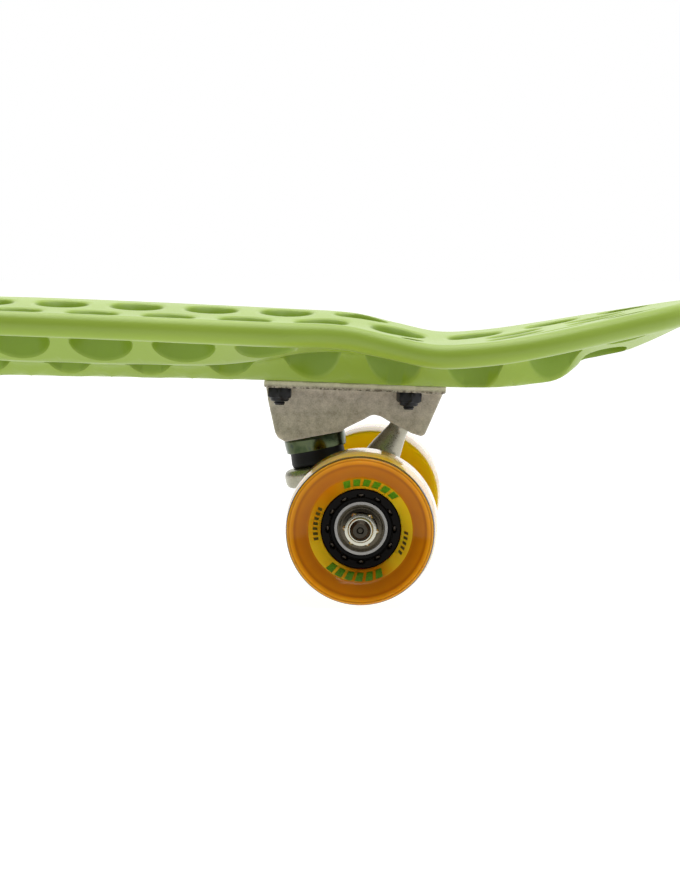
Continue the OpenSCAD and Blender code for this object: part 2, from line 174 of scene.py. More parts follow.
# ---- outline of the deck ----
def outline():
    """The deck's edge on the +Y side from the nose's tip to the tail's, and its outward normals."""
    turns = np.radians(np.linspace(0, 90, 120)[:-1])
    nose_len, nose_w = OVERHANG - NOSE_FROM, DECK_HALF_W - NOSE_NARROWING
    nose = [(-(AXLE_X + NOSE_FROM + nose_len * math.cos(a)), nose_w * math.sin(a)) for a in turns]
    stations = np.linspace(-(AXLE_X + NOSE_FROM), AXLE_X + TAIL_TIP_FROM, 900)
    side = [(x, DECK_HALF_W + float(curve(HALF_LINE, abs(x) - AXLE_X))) for x in stations]
    centre = OVERHANG - TAIL_TIP_R
    first = math.acos((TAIL_TIP_FROM - centre) / TAIL_TIP_R)
    tail = [(AXLE_X + centre + TAIL_TIP_R * math.cos(a), TAIL_TIP_R * math.sin(a))
            for a in np.linspace(first, 0, 60)[1:]]
    points = np.array(nose + side + tail)
    step = np.gradient(points, axis=0)
    step[0], step[-1] = (0, 1), (0, -1)
    step /= np.linalg.norm(step, axis=1)[:, None]
    return points, np.stack([-step[:, 1], step[:, 0]], 1)


edge_points, edge_normals = outline()
inner_edge = edge_points - edge_normals * RIM_T / 2

# The mesh is laid out on a flat lattice and then drawn in to fit the outline.
# A pocket takes NX columns by NY rows, and EXTRA rows lie outside the outermost pockets.
NX, NY, EXTRA = 14, 12, 4
DX, DY = PITCH / NX, ROW / NY
LAST_COL = 142
LAST_ROW = 3 * NY + EXTRA
# Past END_FROM the columns bend to the tip's outline, and CORNER is where the outermost rows end.
END_FROM = 290.0
CORNER = 318.0
# Rows inside KNEE keep their width longest, those out to BAND give way, and the rest fill the edge.
KNEE, BAND = 58.0, 87.0


def inner_half(x):
    """Half-width of the surface inside the rim."""
    return np.interp(x, inner_edge[:, 0], inner_edge[:, 1])


def end_reach(sign, y):
    """How far from the middle the inner edge lies at y, near one tip."""
    part = inner_edge[inner_edge[:, 0] * sign > CORNER - 4]
    order = np.argsort(part[:, 1])
    return np.interp(np.abs(y), part[order, 1], np.abs(part[order, 0]))


def draw_in(y, b):
    """Lattice row y to its real place where the surface is b wide on each side."""
    a = np.abs(y)
    knee = np.minimum(KNEE, 0.8 * b)
    band = np.minimum(BAND, b - 2)
    inside = a * knee / KNEE
    middle = knee + (a - KNEE) / (BAND - KNEE) * (band - knee)
    outside = band + (a - BAND) / (EXTRA * DY) * (b - band)
    return np.sign(y) * np.where(a <= KNEE, inside, np.where(a <= BAND, middle, outside))


def place(col, row):
    """Lattice coordinates, in columns and rows, to x, y and how far into the tip they are."""
    big_x, big_y = col * DX, row * DY
    sign = np.where(big_x > 0, 1.0, -1.0)
    limit = LAST_COL * DX
    u = np.clip((np.abs(big_x) - END_FROM) / (limit - END_FROM), 0, 1)
    base = np.where(u > 0, sign * END_FROM, big_x)
    side_x = np.where(u > 0, sign * (END_FROM + u * (CORNER - END_FROM)), big_x)
    y0 = draw_in(big_y, inner_half(base))
    v = y0 / inner_half(base)
    corner_y = inner_half(sign * CORNER)
    reach = np.where(sign > 0, end_reach(1, v * corner_y), end_reach(-1, v * corner_y))
    x = np.where(u > 0, sign * (END_FROM + u * (reach - END_FROM)), big_x)
    y = np.where(u > 0, v * inner_half(side_x), y0)
    return x, y, u


def top_plain(x, y, u):
    b = inner_half(x)
    across = np.minimum(1, np.abs(y) / np.maximum(b, 1))
    rise = 0.45 * across**2 + 0.55 * ease(0.41, 0.93, across)
    return rim_z(x) - past_axle(DISH, x) * np.minimum(1, b / 80) * (1 - rise) * (1 - u**2)


def bottom_plain(x, y, u):
    w = inner_half(x) + RIM_T / 2
    f = np.minimum(1, w / FULL_HALF_W)
    a = np.abs(y)
    edge = rim_z(x) - RIM_T
    share = curve(OUTER_SHARE, np.abs(x) - AXLE_X)
    outer = 1 - ramp(STEP_FROM * f, np.minimum(STEP_TO, w - LEAST_EDGE) * f, a)
    ledge = curve(LEDGE_SHARE, np.abs(x) - AXLE_X)
    foot = past_axle(FOOT_ROWS, x) * DY * f
    crease = past_axle(CREASE_ROWS, x) * DY * f
    inner = (1 - ledge) * (1 - ramp(foot, crease, a)) + ledge * (1 - ramp(crease, STEP_FROM * f, a))
    return edge + (spine_z(x) - edge) * (share * outer + (1 - share) * inner) * (1 - u**6)


# Radii of the rings of vertices that make a dimple, a scoop and a bolt's counterbore
TOP_RINGS = [12.6, 11.8, 10.9, 9.7, 7.6, 4.0]
SCOOP_RINGS = [13.7, 13.1, 12.6, 12.2, 9.0, 4.5]
HOLE_RINGS = [5.9, 5.3, 5.0, 4.9, 4.7, 2.4]
# The size of the second row's scoops against the others
SMALL_SCOOP = [(-206, 0.78), (-62, 0.78), (-40, 0.93), (-20, 1.0), (140, 1.0)]
DIMPLE_DEPTH = 5.4
# Where the truck leaves no room for the middle rows
NO_DIMPLES = (PLATE_X - 44, PLATE_X + 44)
NO_SCOOPS = (-56, 47)


def dimple(x, y, u, rho):
    depth = DIMPLE_DEPTH * ease(12.5, 9.6, rho) * (1 - 0.1 * (rho / 12) ** 2)
    return top_plain(x, y, u) - depth


def scoop(x, y, u, rho):
    plain = bottom_plain(x, y, u)
    f = np.minimum(1, (inner_half(x) + RIM_T / 2) / FULL_HALF_W)
    outer_row = ease(50 * f, 62 * f, np.abs(y))
    inner_row = 1 - ease(22 * f, 34 * f, np.abs(y))
    edge = rim_z(x) - RIM_T
    spine = spine_z(x)
    middle = edge + (spine - edge) * curve(OUTER_SHARE, np.abs(x) - AXLE_X) + 3.5
    ceiling = (edge - 1) * outer_row + (1 - outer_row) * np.minimum(middle, edge + 1)
    ceiling = ceiling * (1 - inner_row) + inner_row * np.minimum(spine + 9, edge)
    ceiling = np.minimum(ceiling, top_plain(x, y, u) - DIMPLE_DEPTH - 2)
    return plain + np.maximum(0, ceiling - plain) * ease(13.1, 12.3, rho)


def bolt_well(x, y, u, rho):
    """The counterbore of a mounting bolt: its floor is parallel to the baseplate."""
    along = np.abs(x) - AXLE_X - PLATE_X - BOLT_SEAT * math.sin(PLATE_TILT)
    floor = PLATE_Z + BOLT_SEAT * math.cos(PLATE_TILT) - along * math.tan(PLATE_TILT)
    plain = top_plain(x, y, u)
    return plain + (floor - plain) * ease(5.35, 4.95, rho)


def pockets(under):
    """Every pocket that fits: its column, its row, and its size against the usual one."""
    found = []
    for row in (-2, -1, 0, 1, 2, 3):
        y_row = (row - 0.5) * NY
        stagger = 0.5 if row in (-1, 2) else 0
        for k in range(-11, 12):
            col = (k + stagger) * NX
            if abs(col) + NX / 2 > LAST_COL:
                continue
            x = float(place(np.array(col), np.array(y_row))[0])
            squeeze = (min(BAND, float(inner_half(x)) - 2) - KNEE) / (BAND - KNEE)
            if row in (-2, 3) and squeeze < 0.5:
                continue
            first, last = NO_SCOOPS if under else NO_DIMPLES
            if row in (0, 1) and first < abs(x) - AXLE_X < last:
                continue
            small = under and row in (-1, 2)
            size = float(past_axle(SMALL_SCOOP, np.array(x))) if small else 1.0
            found.append((col, y_row, size))
    return found


def add_patch(verts, faces, grid, box, centre, size, rings, plain, shape):
    """A round pocket in the lattice cells of box, from its centre out to their border."""
    i0, i1, j0, j1 = box
    border = ([(i, j0) for i in range(i0, i1)] + [(i1, j) for j in range(j0, j1)]
              + [(i, j1) for i in range(i1, i0, -1)] + [(i0, j) for j in range(j1, j0, -1)])
    ids = [grid[i + LAST_COL, j + LAST_ROW] for i, j in border]
    flat = np.array([(i * DX, j * DY) for i, j in border], float)
    centre = np.array(centre)
    away = flat - centre
    unit = away / np.linalg.norm(away, axis=1)[:, None]
    loops = [0.45 * flat + 0.55 * (centre + unit * rings[0] * size)]
    loops += [centre + unit * r * size for r in rings]
    radii = [rings[0] + 9] + list(rings)
    count = len(border)
    previous = ids
    for loop, radius in zip(loops, radii, strict=True):
        x, y, u = place(loop[:, 0] / DX, loop[:, 1] / DY)
        z = shape(x, y, u, np.full(count, float(radius)))
        start = len(verts)
        verts.extend(zip(x, y, z, np.abs(z - plain(x, y, u)), strict=True))
        now = list(range(start, start + count))
        for a in range(count):
            b = (a + 1) % count
            faces.append((previous[a], previous[b], now[b], now[a]))
        previous = now
    x, y, u = place(centre[0] / DX, centre[1] / DY)
    z = shape(x, y, u, np.array(0.0))
    verts.append((float(x), float(y), float(z), abs(float(z - plain(x, y, u)))))
    for a in range(count):
        faces.append((previous[a], previous[(a + 1) % count], len(verts) - 1))


def surface(plain, pocket_list, pocket_rings, pocket_shape, holes=()):
    """One side of the deck: its vertices, faces and grid of vertex numbers.

    A vertex is (x, y, z, depth of the pocket there).
    """
    cols = np.arange(-LAST_COL, LAST_COL + 1)
    rows = np.arange(-LAST_ROW, LAST_ROW + 1)
    gc, gr = np.meshgrid(cols, rows, indexing="ij")
    x, y, u = place(gc.astype(float), gr.astype(float))
    z = plain(x, y, u)
    verts = list(zip(x.ravel(), y.ravel(), z.ravel(), np.zeros(z.size), strict=True))
    grid = np.arange(len(verts)).reshape(gc.shape)
    free = np.ones((len(cols) - 1, len(rows) - 1), bool)
    faces = []
    jobs = [((c, r), (c * DX, r * DY), NX // 2, NY // 2, size, pocket_rings, pocket_shape)
            for c, r, size in pocket_list]
    jobs += [((round(hx / DX), round(hy / DY)), (hx, hy), 4, 3, 1.0, HOLE_RINGS, bolt_well)
             for hx, hy in holes]
    for (c, r), centre, wide, high, size, rings, shape in jobs:
        c, r = int(round(c)), int(round(r))
        box = (c - wide, c + wide, r - high, r + high)
        if box[0] < -LAST_COL or box[1] > LAST_COL:
            continue
        free[box[0] + LAST_COL:box[1] + LAST_COL, box[2] + LAST_ROW:box[3] + LAST_ROW] = False
        add_patch(verts, faces, grid, box, centre, size, rings, plain, shape)
    for i, j in zip(*np.nonzero(free), strict=True):
        faces.append((grid[i, j], grid[i + 1, j], grid[i + 1, j + 1], grid[i, j + 1]))
    return verts, faces, grid


def bolt_places():
    """Mounting bolt heads, as lattice positions."""
    middle = AXLE_X + PLATE_X + BOLT_SEAT * math.sin(PLATE_TILT)
    half = BOLT_X / 2 * math.cos(PLATE_TILT)
    return [(sign * (middle + a * half), b * BOLT_Y / 2)
            for sign in ENDS.values() for a in (-1, 1) for b in (-1, 1)]


def border_loop(grid):
    """The numbers of a grid's outermost vertices, anticlockwise seen from above."""
    return list(grid[:-1, 0]) + list(grid[-1, :-1]) + list(grid[:0:-1, -1]) + list(grid[0, :0:-1])


def make_deck():
    """Both sides of the deck, joined round its border by the half-round rim."""
    top_v, top_f, grid = surface(top_plain, pockets(False), TOP_RINGS, dimple, bolt_places())
    low_v, low_f, _ = surface(bottom_plain, pockets(True), SCOOP_RINGS, scoop)
    below = len(top_v)
    verts = top_v + low_v
    faces = [tuple(f) for f in top_f] + [tuple(i + below for i in reversed(f)) for f in low_f]
    loop = border_loop(grid)
    flat = np.array([verts[i][:2] for i in loop])
    step = np.roll(flat, -1, 0) - np.roll(flat, 1, 0)
    step /= np.linalg.norm(step, axis=1)[:, None]
    normal = np.stack([step[:, 1], -step[:, 0]], 1)
    middle = rim_z(flat[:, 0]) - RIM_T / 2
    previous = loop
    arcs = 14
    for k in range(1, arcs + 1):
        angle = math.pi / 2 - math.pi * k / arcs
        if k == arcs:
            now = [i + below for i in loop]
        else:
            out = flat + normal * RIM_T / 2 * math.cos(angle)
            z = middle + RIM_T / 2 * math.sin(angle)
            start = len(verts)
            verts.extend((out[i, 0], out[i, 1], z[i], 0.0) for i in range(len(loop)))
            now = list(range(start, start + len(loop)))
        for a in range(len(loop)):
            b = (a + 1) % len(loop)
            faces.append((previous[a], now[a], now[b], previous[b]))
        previous = now
    # How deep each point lies in a pocket; the deck's material paints shade there by this depth.
    sunk = [v[3] for v in verts]
    return mesh_piece("deck_moulding", [v[:3] for v in verts], faces, [deck_plastic()],
                      smooth_angle=50, sunk=sunk)


# ---- mesh helpers ----
def add_object(name, data):
    obj = bpy.data.objects.new(name, data)
    bpy.context.scene.collection.objects.link(obj)
    return obj


def mesh_piece(name, verts, faces, materials, matrix=None, smooth_angle=40, local=None, sunk=None):
    """A mesh object from points in millimetres, moved into place by matrix."""
    mesh = bpy.data.meshes.new(name)
    mesh.from_pydata([tuple(float(c) * MM for c in v) for v in verts], [], faces)
    if local is not None or matrix is not None:
        note_local(mesh, verts if local is None else local)
    if sunk is not None:
        mesh.attributes.new("sunk", "FLOAT", "POINT").data.foreach_set("value", np.array(sunk, np.float32))
    if matrix is not None:
        move = matrix.copy()
        move.translation *= MM
        mesh.transform(move)
    for m in materials:
        mesh.materials.append(m)
    bm = bmesh.new()
    bm.from_mesh(mesh)
    bmesh.ops.remove_doubles(bm, verts=bm.verts, dist=1e-7)
    bmesh.ops.recalc_face_normals(bm, faces=bm.faces)
    bm.to_mesh(mesh)
    bm.free()
    mesh.shade_smooth()
    mesh.set_sharp_from_angle(angle=math.radians(smooth_angle))
    return add_object(name, mesh)


def note_local(mesh, verts):
    """Keeps each point's place in its own frame, for the materials that follow it."""
    local = mesh.attributes.new("local", "FLOAT_VECTOR", "POINT")
    local.data.foreach_set("vector", np.array(verts, np.float32).ravel())


def joined(name, parts, materials, smooth_angle=40):
    """One mesh object of several (verts, faces, matrix) parts, in millimetres."""
    verts, faces, local = [], [], []
    for v, f, m in parts:
        start = len(verts)
        local += v
        verts += [tuple(m @ Vector(p)) for p in v]
        faces += [tuple(i + start for i in face) for face in f]
    return mesh_piece(name, verts, faces, materials, smooth_angle=smooth_angle, local=local)


def rounded(points, radius, steps=4, closed=True):
    """An outline with its corners rounded; radius may differ by corner."""
    n = len(points)
    out = []
    for i in range(n):
        p = Vector(points[i])
        r = radius[i] if isinstance(radius, (list, tuple)) else radius
        if (not closed and i in (0, n - 1)) or r == 0:
            out.append(tuple(p))
            continue
        a = Vector(points[i - 1]) - p
        b = Vector(points[(i + 1) % n]) - p
        reach = min(r, 0.45 * a.length, 0.45 * b.length)
        pa, pb = p + a.normalized() * reach, p + b.normalized() * reach
        for k in range(steps + 1):
            t = k / steps
            out.append(tuple((1 - t) ** 2 * pa + 2 * t * (1 - t) * p + t * t * pb))
    return out


def lathe(profile, segments=96, flats=None, z_of=None):
    """A closed (radius, height) outline turned about Z.

    flats is the (count, inradius) of a polygon that trims it, and z_of changes a point's height.
    """
    verts, faces = [], []
    n = len(profile)
    for s in range(segments):
        a = 2 * math.pi * s / segments
        limit = 1e9
        if flats:
            wedge = 2 * math.pi / flats[0]
            limit = flats[1] / math.cos((a % wedge) - wedge / 2)
        for r, z in profile:
            rr = min(r, limit)
            verts.append((rr * math.cos(a), rr * math.sin(a), z if z_of is None else z_of(rr, z, a)))
    for s in range(segments):
        t = (s + 1) % segments
        for i in range(n):
            j = (i + 1) % n
            faces.append((s * n + i, t * n + i, t * n + j, s * n + j))
    return verts, faces


def turn(axis, angle):
    return Matrix.Rotation(angle, 4, axis)


def shift(x, y, z):
    return Matrix.Translation((x, y, z))


def at_truck(end):
    return turn("Z", math.pi if end == "front" else 0) @ shift(AXLE_X, 0, 0)


def at_plate(end):
    return at_truck(end) @ shift(PLATE_X, 0, PLATE_Z) @ turn("Y", PLATE_TILT)


def at_kingpin(end):
    """Origin at the kingpin's seat, +Z down the kingpin."""
    return at_truck(end) @ shift(SEAT_X, 0, SEAT_Z) @ turn("Y", math.pi - KINGPIN_LEAN)


def at_wheel(end, side):
    """Origin at the wheel's centre, +Z outwards along the axle."""
    outward = SIDES[side]
    return shift(ENDS[end] * AXLE_X, outward * WHEEL_Y, AXLE_Z) @ turn("X", -outward * math.pi / 2)


# ---- materials ----
def linear(r, g, b):
    """An sRGB colour, 0 to 255, as the linear colour a shader takes."""
    c = [v / 255 for v in (r, g, b)]
    return tuple(v / 12.92 if v <= 0.04045 else ((v + 0.055) / 1.055) ** 2.4 for v in c) + (1.0,)


class Nodes:
    """A node tree under construction, and short ways to add and join its nodes."""

    def __init__(self, tree):
        self.tree = tree

    def add(self, kind, **inputs):
        node = self.tree.nodes.new(kind)
        for key, value in inputs.items():
            node.inputs[key.replace("_", " ")].default_value = value
        return node

    def join(self, a, b):
        self.tree.links.new(a, b)

    def noise(self, where, scale, detail=3.0, roughness=0.55):
        node = self.add("ShaderNodeTexNoise", Scale=scale, Detail=detail, Roughness=roughness)
        self.join(where, node.inputs["Vector"])
        return node.outputs["Fac"]

    def math(self, operation, a, b):
        node = self.add("ShaderNodeMath")
        node.operation = operation
        for socket, value in ((node.inputs[0], a), (node.inputs[1], b)):
            if isinstance(value, (int, float)):
                socket.default_value = value
            else:
                self.join(value, socket)
        return node.outputs[0]

    def ramp(self, value, stops, mode="LINEAR"):
        """Colours along value; stops are (place, colour)."""
        node = self.add("ShaderNodeValToRGB")
        node.color_ramp.interpolation = mode
        elements = node.color_ramp.elements
        while len(elements) < len(stops):
            elements.new(0.5)
        for element, (at, colour) in zip(elements, stops, strict=True):
            element.position = at
            element.color = colour
        self.join(value, node.inputs["Fac"])
        return node.outputs["Color"]

    def levels(self, value, stops, mode="LINEAR"):
        """Greys along value; stops are (place, brightness)."""
        return self.ramp(value, [(at, (level, level, level, 1)) for at, level in stops], mode)

    def range(self, value, low, high, to_low=0.0, to_high=1.0):
        node = self.add("ShaderNodeMapRange")
        for key, v in (("From Min", low), ("From Max", high), ("To Min", to_low), ("To Max", to_high)):
            node.inputs[key].default_value = v
        self.join(value, node.inputs["Value"])
        return node.outputs[0]

    def mix(self, factor, a, b):
        node = self.add("ShaderNodeMix")
        node.data_type = "RGBA"
        for socket, value in ((node.inputs[0], factor), (node.inputs[6], a), (node.inputs[7], b)):
            if isinstance(value, (tuple, float)):
                socket.default_value = value
            else:
                self.join(value, socket)
        return node.outputs[2]


class Shade(Nodes):
    """A material under construction, round a Principled shader."""

    def __init__(self, name, **sockets):
        self.mat = bpy.data.materials.new(name)
        self.mat.use_nodes = True
        super().__init__(self.mat.node_tree)
        self.main = self.tree.nodes["Principled BSDF"]
        for key, value in sockets.items():
            self.main.inputs[key.replace("_", " ")].default_value = value

    def place(self):
        """Object coordinates in millimetres."""
        coords = self.add("ShaderNodeTexCoord")
        scale = self.add("ShaderNodeVectorMath")
        scale.operation = "SCALE"
        scale.inputs["Scale"].default_value = 1 / MM
        self.join(coords.outputs["Object"], scale.inputs[0])
        return scale.outputs[0]

    def bump(self, height, depth_mm):
        node = self.add("ShaderNodeBump", Strength=1.0, Distance=depth_mm * MM)
        self.join(height, node.inputs["Height"])
        self.join(node.outputs["Normal"], self.main.inputs["Normal"])

    def colour(self, socket):
        self.join(socket, self.main.inputs["Base Color"])

    def local(self):
        """Position in the piece's own frame in millimetres, distance from its Z axis, and X, Y and Z."""
        node = self.add("ShaderNodeAttribute")
        node.attribute_name = "local"
        split = self.add("ShaderNodeSeparateXYZ")
        self.join(node.outputs["Vector"], split.inputs[0])
        flat = self.add("ShaderNodeCombineXYZ")
        self.join(split.outputs[0], flat.inputs[0])
        self.join(split.outputs[1], flat.inputs[1])
        length = self.add("ShaderNodeVectorMath")
        length.operation = "LENGTH"
        self.join(flat.outputs[0], length.inputs[0])
        return node.outputs["Vector"], length.outputs["Value"], split.outputs


@cache
def deck_plastic():
    s = Shade("deck_plastic", Specular_IOR_Level=0.3, Coat_Weight=0.05, Coat_Roughness=0.25)
    where = s.place()
    broad = s.noise(where, 0.012, 2.0)
    fine = s.noise(where, 1.6, 4.0)
    # Painted shade: the colour turns darker and more saturated in the dimples and scoops, the more so the
    # deeper they are.
    sunk = s.add("ShaderNodeAttribute")
    sunk.attribute_name = "sunk"
    pocket = s.range(sunk.outputs["Fac"], 0.1, 1.5)
    skin = s.ramp(broad, [(0.3, linear(138, 163, 59)), (0.7, linear(145, 170, 63))])
    s.colour(s.mix(pocket, skin, linear(122, 150, 36)))
    s.join(s.range(fine, 0.3, 0.7, 0.32, 0.42), s.main.inputs["Roughness"])
    s.bump(s.noise(where, 0.9, 5.0), 0.03)
    return s.mat


def casting(name, low, high, pits, rough, metallic):
    """Grey cast metal: uneven tone and a pitted, sandy skin."""
    s = Shade(name, Metallic=metallic)
    where = s.place()
    tone = s.noise(where, 0.3, 5.0, 0.62)
    grain = s.noise(where, 1.7, 6.0, 0.7)
    both = s.math("ADD", s.math("MULTIPLY", tone, 0.5), s.math("MULTIPLY", grain, 0.5))
    s.join(s.range(grain, 0.35, 0.65, rough - 0.1, rough + 0.1), s.main.inputs["Roughness"])
    s.bump(s.math("ADD", s.noise(where, 0.55, 4.0), s.math("MULTIPLY", grain, 0.5)), pits)
    return s, s.ramp(both, [(0.36, low), (0.62, high)])


@cache
def cast_baseplate():
    """The flange's upper edge is painted lighter as a highlight, and a patchy painted shadow lies in the
    pitted corner under it.
    """
    s, colour = casting("cast_baseplate", linear(150, 142, 126), linear(206, 198, 182), 0.14, 0.6, 0.3)
    where, _, parts = s.local()
    height = parts[2]
    # Painted highlight: the upper part of the flange's edge is mixed towards a light cream.
    edge = s.math("MULTIPLY", s.range(height, -FLANGE_T + 1.0, -FLANGE_T + 1.8), 0.4)
    with_painted_highlight = s.mix(edge, colour, linear(236, 232, 204))
    # Painted shadow: a patchy dark band just under the flange.
    below = s.range(height, -FLANGE_T + 1.4, -FLANGE_T + 0.3)
    above = s.range(height, -FLANGE_T - 0.9, -FLANGE_T - 0.3)
    patchy = s.range(s.noise(where, 0.7, 3.0), 0.42, 0.56, 0.2, 0.95)
    painted_shadow = s.math("MULTIPLY", s.math("MULTIPLY", below, above), patchy)
    s.colour(s.mix(painted_shadow, with_painted_highlight, linear(62, 54, 42)))
    return s.mat


@cache
def cast_hanger():
    s, colour = casting("cast_hanger", linear(150, 146, 130), linear(172, 168, 152), 0.015, 0.32, 0.9)
    s.colour(colour)
    return s.mat


# Colour, roughness, depth of the scratches in mm, and how metallic
METALS = {
    "steel": ((205, 204, 198), 0.24, 0.02, 1.0),
    "black_steel": ((38, 38, 40), 0.38, 0.02, 0.7),
    "nut_plating": ((192, 190, 174), 0.2, 0.02, 1.0),
    "bearing_steel": ((150, 148, 144), 0.3, 0.008, 1.0),
    "dark_steel": ((70, 66, 58), 0.3, 0.01, 1.0),
    "bearing_shield": ((86, 80, 68), 0.28, 0.01, 1.0),
}


@cache
def metal(name):
    rgb, rough, scratches, metallic = METALS[name]
    colour = linear(*rgb)
    s = Shade(name, Metallic=metallic)
    where = s.place()
    fine = s.noise(where, 1.1, 4.0)
    dark = tuple(c * 0.82 for c in colour[:3]) + (1.0,)
    s.colour(s.mix(fine, dark, colour))
    s.join(s.range(fine, 0.3, 0.7, rough - 0.05, rough + 0.08), s.main.inputs["Roughness"])
    s.bump(s.noise(where, 3.5, 3.0), scratches)
    return s.mat


@cache
def zinc_washer():
    s = Shade("zinc_washer", Metallic=1.0, Roughness=0.18)
    where = s.place()
    tint = s.noise(where, 0.16, 2.0)
    s.colour(s.ramp(tint, [(0.3, linear(46, 62, 40)), (0.5, linear(78, 86, 62)), (0.7, linear(42, 52, 56))]))
    s.bump(s.noise(where, 2.0, 3.0), 0.02)
    return s.mat


@cache
def soft_black(name, grey):
    s = Shade(name, Specular_IOR_Level=0.18)
    fine = s.noise(s.place(), 0.8, 4.0)
    s.colour(s.mix(fine, linear(grey, grey, grey), linear(grey + 12, grey + 12, grey + 12)))
    s.join(s.range(fine, 0.3, 0.7, 0.44, 0.56), s.main.inputs["Roughness"])
    s.bump(fine, 0.03)
    return s.mat


@cache
def core_plastic():
    s = Shade("core_plastic", Roughness=0.2, Specular_IOR_Level=0.06)
    where, _, _ = s.local()
    fine = s.noise(where, 0.7, 3.0)
    s.colour(s.mix(fine, linear(8, 6, 5), linear(15, 12, 10)))
    s.bump(s.noise(where, 0.35, 2.0), 0.03)
    return s.mat


# Painted glint: the window floors are brown, standing in for amber reflected in the glossy black core.
@cache
def window_painted_glint():
    s = Shade("window_painted_glint", Roughness=0.3)
    where, _, _ = s.local()
    s.colour(s.mix(s.noise(where, 1.2, 2.0), linear(44, 28, 10), linear(120, 92, 48)))
    return s.mat


def urethane(name, specular, clear, rough=0.12):
    """Cast amber urethane, clear enough for light to get in."""
    s = Shade(name, Roughness=rough, IOR=1.47, Specular_IOR_Level=specular, Transmission_Weight=clear,
              Subsurface_Weight=0.5, Subsurface_Radius=(1.0, 0.55, 0.05), Subsurface_Scale=12 * MM)
    where, radius, parts = s.local()
    s.bump(s.noise(where, 0.25, 2.0), 0.05)
    cloud = s.range(s.noise(where, 0.05, 3.0), 0.35, 0.65)
    return s, radius, parts, cloud


BAND_TO = 20.6
# The side's colour from the band beside the core to the lip, with light rings painted as highlights and dark
# rings painted as shade where light bends in the clear lip: (radius, colour)
SIDE_PAINTED_RINGS = [(BAND_TO, (206, 124, 2)), (21.6, (186, 110, 4)), (25.0, (198, 122, 4)), (26.0, (172, 102, 6)),
              (26.7, (216, 144, 8)), (27.7, (232, 166, 34)), (28.1, (178, 112, 8)), (28.6, (222, 156, 40))]


@cache
def urethane_side():
    """Painted light and dark rings run round the side, and the inner side of the wheel is painted lighter,
    as if lit through from behind.
    """
    s, radius, parts, cloud = urethane("urethane_side", 0.06, 0.2, 0.08)
    first, last = SIDE_PAINTED_RINGS[0][0], SIDE_PAINTED_RINGS[-1][0]
    stops = [((r - first) / (last - first), linear(*colour)) for r, colour in SIDE_PAINTED_RINGS]
    rings = s.ramp(s.range(radius, first, last), stops)
    face = s.mix(s.math("MULTIPLY", cloud, 0.25), rings, linear(150, 84, 4))
    # Painted light: faces on the wheel's inner side (local Z below zero) turn bright yellow.
    s.colour(s.mix(s.range(parts[2], 1.0, -1.0), face, linear(255, 197, 6)))
    return s.mat


@cache
def urethane_edge():
    """The dark line that the photo shows where the lip bends the light."""
    s, _, _, cloud = urethane("urethane_edge", 0.3, 0.2)
    s.colour(s.mix(cloud, linear(74, 44, 8), linear(104, 66, 14)))
    return s.mat


@cache
def urethane_tread():
    s, _, _, cloud = urethane("urethane_tread", 0.5, 0.3, 0.05)
    s.colour(s.mix(cloud, linear(250, 186, 40), linear(255, 204, 58)))
    return s.mat


# Where light comes through the band beside the core, as (share of a turn, brightness)
BAND_LIGHT = [(0.0, 0.5), (0.06, 1), (0.16, 0.9), (0.24, 0), (0.31, 0), (0.38, 1), (0.6, 1), (0.7, 0.35),
              (0.86, 0.1), (1.0, 0.5)]


@cache
def urethane_band():
    s, _, parts, cloud = urethane("urethane_band", 0.2, 0.3)
    angle = s.range(s.math("ARCTAN2", parts[1], parts[0]), -math.pi, math.pi)
    lit = s.levels(angle, BAND_LIGHT)
    dim = s.mix(cloud, linear(216, 124, 4), linear(226, 140, 6))
    s.colour(s.mix(lit, dim, linear(255, 216, 40)))
    return s.mat


@cache
def print_ink():
    s = Shade("print_ink", Roughness=0.35)
    where, _, _ = s.local()
    worn = s.range(s.noise(where, 1.3, 4.0), 0.35, 0.6)
    s.colour(s.mix(worn, linear(62, 108, 8), linear(92, 148, 16)))
    s.bump(s.noise(where, 2.2, 3.0), 0.03)
    return s.mat


@cache
def dark_ink():
    s = Shade("dark_ink", Roughness=0.4)
    where, _, _ = s.local()
    s.colour(s.mix(s.noise(where, 1.3, 3.0), linear(54, 50, 4), linear(92, 84, 10)))
    s.bump(s.noise(where, 2.2, 3.0), 0.03)
    return s.mat


# ---- wheels ----
HALF_W = WHEEL_W / 2
# The dark lip lies between these two radii.
EDGE_FROM, TREAD_FROM = 28.85, 29.55
# The tyre's outer half, from the core's face to the middle of the tread
LIP = [(CORE_R, CORE_W / 2), (17, CORE_W / 2 + 1.2), (20.8, HALF_W - 4.6), (24, HALF_W - 2.4),
       (27.2, HALF_W - 0.5), (28.2, HALF_W), (28.9, HALF_W - 0.3), (29.35, HALF_W - 1.4),
       (29.6, HALF_W - 3.6), (30.1, HALF_W - 8), (WHEEL_R, HALF_W - 14)]
# A ring of small round windows sinks into each face of the core.
WINDOWS, WINDOW_R, WINDOW_DEPTH = 12, 13.3, 2.4
BEARING_AT, BEARING_HALF_W = 8.5, 3.5
RING = [(9.3, -3.3), (9.5, -3.5), (10.6, -3.5), (10.97, -3.1)]
# A pressed shield's outline: radius, and height as a share of the bearing's half-width
SHIELD = [(9.45, 0.82), (9.45, 0.93), (9.0, 0.95), (8.4, 0.86), (7.6, 0.86), (7.2, 0.93), (6.6, 0.93),
          (6.45, 0.88), (6.45, 0.82), (8.0, 0.76)]


def own_place(obj, index):
    """Where a vertex lies in the piece's own frame."""
    return obj.data.attributes["local"].data[index].vector


def mirrored(profile):
    """Half an outline and its mirror image below Z = 0."""
    return profile + [(r, -z) for r, z in reversed(profile)]


def tyre_skin(radius, outer):
    """Which of the tyre's four materials a face takes."""
    if outer and EDGE_FROM < radius < TREAD_FROM:
        return 3
    if radius > TREAD_FROM:
        return 1
    return 2 if radius < BAND_TO else 0


